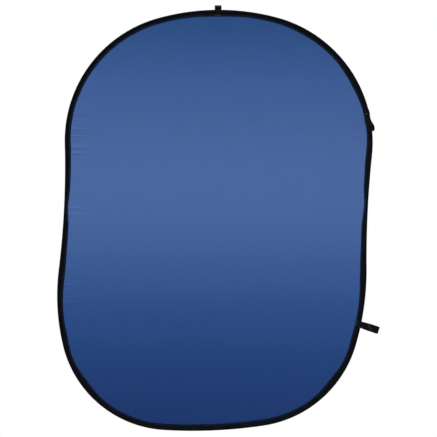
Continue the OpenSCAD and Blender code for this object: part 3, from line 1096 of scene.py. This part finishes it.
def make_cloth_look():
    """Blue backdrop cloth with painted light: lightest a little above the middle, and darkest at the foot
    as painted shade.
    """
    look = Look("backdrop cloth")
    low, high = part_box("lower_cloth")[0].z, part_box("upper_cloth")[1].z
    span = look.node("ShaderNodeMapRange", Value=look.rest_axis(1), From_Min=low, From_Max=high)
    # Painted light and shade: the blue is painted lightest a little above the middle and darker towards
    # the foot and the crown.
    blue_and_painted_light = look.ramp(span.outputs[0], CLOTH_BLUE_AND_PAINTED_LIGHT)
    weft = look.noise(90, 900)
    warp = look.noise(900, 90)
    slubs = look.blend(0.5, weft, warp)
    mottle = look.noise(14, 14, 4.0)
    tone = look.ramp(slubs, [(0.25, 0.86), (0.75, 1.0)])
    clouds = look.ramp(mottle, [(0.2, 0.95), (0.8, 1.0)])
    colour = look.multiply(look.multiply(blue_and_painted_light, tone), clouds)
    creases = look.bump(look.noise(22, 60, 3.0), 1.0 * MM, 0.35)
    normal = look.bump(slubs, 0.25 * MM, 0.5, Normal=creases)
    rough = look.math("MULTIPLY_ADD", mottle, 0.12, 0.78)
    look.set(Base_Color=colour, Roughness=rough, Normal=normal)
    look.set(Sheen_Weight=0.025, Sheen_Roughness=0.4, Sheen_Tint=(0.6, 0.8, 1.0, 1))
    look.set(Specular_IOR_Level=0.1)
    return look.material


# How far round the tape's section, from the middle of its inside, the navy of its lips and the
# painted highlight along the lips' tips are full, and where they have faded out.
LIP_AROUND = (41 * MM, 53 * MM)
TIP_HIGHLIGHT_AROUND = (32.2 * MM, 33.4 * MM)
TIP_HIGHLIGHT_COLOUR = (0.016, 0.022, 0.042, 1)


def make_binding_look():
    """Black grosgrain tape: fine ribs across it, bluish on its lips, with a painted highlight along the
    lips' tips.
    """
    look = Look("binding tape")
    ribs = look.wave(620, 0)
    lint = look.noise(500, 900, 3.0)
    cloudy = look.noise(12, 60, 3.0)
    mix = look.blend(0.7, cloudy, lint)
    black = look.ramp(mix, [(0.3, (0.0006, 0.0009, 0.0014)), (0.7, (0.0020, 0.0026, 0.0038))])
    navy = look.ramp(mix, [(0.3, (0.0006, 0.0015, 0.0050)), (0.7, (0.0020, 0.0044, 0.0130))])
    around = look.math("ABSOLUTE", look.rest_axis(1))
    on_lip = look.smooth_range(around, LIP_AROUND[1], LIP_AROUND[0])
    at_tip_highlight = look.smooth_range(around, TIP_HIGHLIGHT_AROUND[1], TIP_HIGHLIGHT_AROUND[0])
    colour = look.mix(on_lip, black, navy)
    # Painted highlight: a paler line along the lips' tips.
    colour = look.mix(look.math("MULTIPLY", at_tip_highlight, 0.8), colour, TIP_HIGHLIGHT_COLOUR)
    look.set(Base_Color=colour, Normal=look.bump(look.blend(0.6, ribs, lint), 0.25 * MM, 0.7))
    look.set(Roughness=look.ramp(lint, [(0.3, 0.55), (0.7, 0.8)]), Specular_IOR_Level=0.04)
    look.set(Sheen_Weight=0.006, Sheen_Roughness=0.35, Sheen_Tint=(0.55, 0.7, 1.0, 1))
    return look.material


def make_webbing_look():
    """Black flat webbing, with a painted grey highlight where light catches the top loop's fold and
    the lower strap's crease. The weave is in the mesh; painted shade darkens the colour between its
    yarns, and its yarn is fuzzy."""
    look = Look("webbing")
    yarn = look.noise(900, 2600)
    mix = look.blend(0.5, yarn, look.noise(40, 120, 3.0))
    black = look.ramp(mix, [(0.3, (0.0013, 0.0013, 0.0016)), (0.7, (0.0056, 0.0054, 0.0060))])
    # Painted highlight: the grey mixed in where light catches the folds.
    highlight_grey = look.ramp(mix, [(0.3, (0.030, 0.029, 0.033)), (0.7, (0.075, 0.073, 0.082))])
    colour = look.mix(look.layer(PAINTED_HIGHLIGHT_LAYER), black, highlight_grey)
    # Painted shade: the colour is darker between the yarns.
    painted_yarn_shade = look.ramp(look.layer(WEAVE_LAYER), [(0.0, 0.35), (0.8, 1.0)])
    look.set(Base_Color=look.multiply(colour, painted_yarn_shade), Normal=look.bump(yarn, 0.2 * MM, 0.6))
    look.set(Roughness=look.ramp(yarn, [(0.3, 0.5), (0.7, 0.7)]), Specular_IOR_Level=0.05)
    look.set(Sheen_Weight=0.006, Sheen_Roughness=0.4)
    return look.material


def make_thread_look():
    """Black polyester thread with a twist."""
    look = Look("thread")
    twist = look.wave(1400, 900)
    black = look.ramp(twist, [(0.2, (0.003, 0.003, 0.004)), (0.9, (0.010, 0.010, 0.013))])
    look.set(Base_Color=black, Normal=look.bump(twist, 0.08 * MM, 0.5))
    look.set(Roughness=0.5, Sheen_Weight=0.1)
    return look.material


def make_steel_look(name, colour, has_rest):
    """Cold-rolled steel: faint lines and a little oil stain."""
    look = Look(name)
    lines = look.noise(8, 4000, 3.0) if has_rest else look.solid_noise(900, 3.0)
    stain = look.noise(30, 120, 4.0) if has_rest else look.solid_noise(60, 4.0)
    shade = look.ramp(stain, [(0.25, tuple(0.8 * c for c in colour)), (0.75, colour)])
    look.set(Base_Color=shade, Metallic=1.0, Normal=look.bump(lines, 0.05 * MM, 0.4))
    look.set(Roughness=look.ramp(lines, [(0.3, 0.28), (0.7, 0.42)]))
    return look.material


# ---- stage ----

BACKGROUND = (1.0, 1.0, 1.0, 1)
AMBIENT = (0.86, 0.92, 1.0, 1)
AMBIENT_STRENGTH = 0.22
# The lights' name, place from the middle of the panel's height, size and power.
SOFTBOXES = (
    ("key", (-2.8, -5.8, 6.8), 3.0, 1050),
    ("fill", (2.6, -2.8, 0.2), 2.4, 20),
    ("back", (2.8, 5.8, 6.0), 3.0, 900),
)
TARGET_RAISE = 0.2
FLOOR_DROP = 0.28
FLOOR_FORWARD = 0.6
FLOOR_RADIUS = 2.3
FLOOR_SIDES = 64
CAMERA_DISTANCE = 8.0
VIEW_WIDTH = 2.0795
SENSOR = 36.0
# How far the view's middle is above and to the right of the middle of the panel's box.
VIEW_RAISE = -2.2 * MM
VIEW_SHIFT = 1.1 * MM


def make_world():
    """Soft even light from all round. The camera sees plain white."""
    world = bpy.data.worlds.new("studio")
    world.use_nodes = True
    tree = world.node_tree
    tree.nodes.clear()
    mix = tree.nodes.new("ShaderNodeMixShader")
    path = tree.nodes.new("ShaderNodeLightPath")
    tree.links.new(path.outputs["Is Camera Ray"], mix.inputs[0])
    for i, (colour, strength) in enumerate(((AMBIENT, AMBIENT_STRENGTH), (BACKGROUND, 1))):
        light = tree.nodes.new("ShaderNodeBackground")
        light.inputs["Color"].default_value = colour
        light.inputs["Strength"].default_value = strength
        tree.links.new(light.outputs[0], mix.inputs[i + 1])
    tree.links.new(mix.outputs[0], tree.nodes.new("ShaderNodeOutputWorld").inputs[0])
    bpy.context.scene.world = world


def add_softbox(name, place, target, size, power):
    """A large square light aimed at a point."""
    light = bpy.data.lights.new(name, "AREA")
    light.shape = "SQUARE"
    light.size = size
    light.energy = power
    obj = add_object(name, light)
    obj.location = place
    obj.rotation_euler = (Vector(target) - Vector(place)).to_track_quat("-Z", "Y").to_euler()
    obj.visible_camera = False


def make_floor(centre):
    """A plain pale disc."""
    mesh = bpy.data.meshes.new("floor")
    turn = np.arange(FLOOR_SIDES) * 2 * math.pi / FLOOR_SIDES
    ring = FLOOR_RADIUS * np.stack([np.cos(turn), np.sin(turn), 0 * turn], -1)
    mesh.from_pydata((np.array(centre) + ring).tolist(), [], [list(range(FLOOR_SIDES))])
    look = Look("floor")
    grain = look.solid_noise(3.0, 4.0)
    look.set(Base_Color=look.ramp(grain, [(0.2, 0.80), (0.8, 0.84)]), Roughness=0.9)
    mesh.materials.append(look.material)
    add_object("floor", mesh)


def make_camera(place):
    """Square on to the panel's front."""
    camera = bpy.data.cameras.new("camera")
    camera.sensor_width = SENSOR
    camera.lens = SENSOR * CAMERA_DISTANCE / VIEW_WIDTH
    camera.clip_end = 50
    eye = add_object("camera", camera)
    eye.location = place
    eye.rotation_euler = (math.radians(90), 0, 0)
    bpy.context.scene.camera = eye
    bpy.context.scene.view_settings.view_transform = "Standard"


def make_stage():
    """World, lights, floor and camera."""
    low, high = cad_box
    middle = (low + high) / 2
    make_world()
    target = (middle.x, 0, middle.z + TARGET_RAISE)
    for name, (x, y, painted_yarn_shade), size, power in SOFTBOXES:
        add_softbox(name, (x, y, middle.z + painted_yarn_shade), target, size, power)
    make_floor((middle.x, -FLOOR_FORWARD, low.z - FLOOR_DROP))
    make_camera((middle.x + VIEW_SHIFT, -CAMERA_DISTANCE, middle.z + VIEW_RAISE))


# ---- the panel ----


def zones_of(k):
    """The zones of the CAD model that a panel piece stands for."""
    zones = ["upper" if k == 0 else f"strip_{k}"]
    return zones + ["lower"] if k == PIECES - 1 else zones


def make_panel():
    """Every panel piece, with the CAD parts it stands for hidden."""
    for k, ((cloth, area), rim) in enumerate(zip(make_cloth(), make_rim(), strict=True)):
        binding, band, thread = rim
        for piece in (cloth, binding, band, thread):
            bend_over_fold(piece)
        for zone in zones_of(k):
            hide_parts(f"{zone}_cloth")
            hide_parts(f"{zone}_stitching")
            for side in ("_left", "_right") if zone.startswith("strip") else ("",):
                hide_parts(f"{zone}_binding{side}")
                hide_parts(f"{zone}_band{side}")


cloth_look = make_cloth_look()
binding_look = make_binding_look()
webbing_look = make_webbing_look()
thread_look = make_thread_look()
steel_look = make_steel_look("spring steel", (0.60, 0.61, 0.63), True)
ferrule_look = make_steel_look("ferrule steel", (0.66, 0.67, 0.68), False)

make_panel()
make_top_loop()
make_upper_side_loop()
make_lower_side_loop()

ferrule = frame["nodes"]["band_ferrule"]
ferrule.data.materials.clear()
ferrule.data.materials.append(ferrule_look)

make_stage()
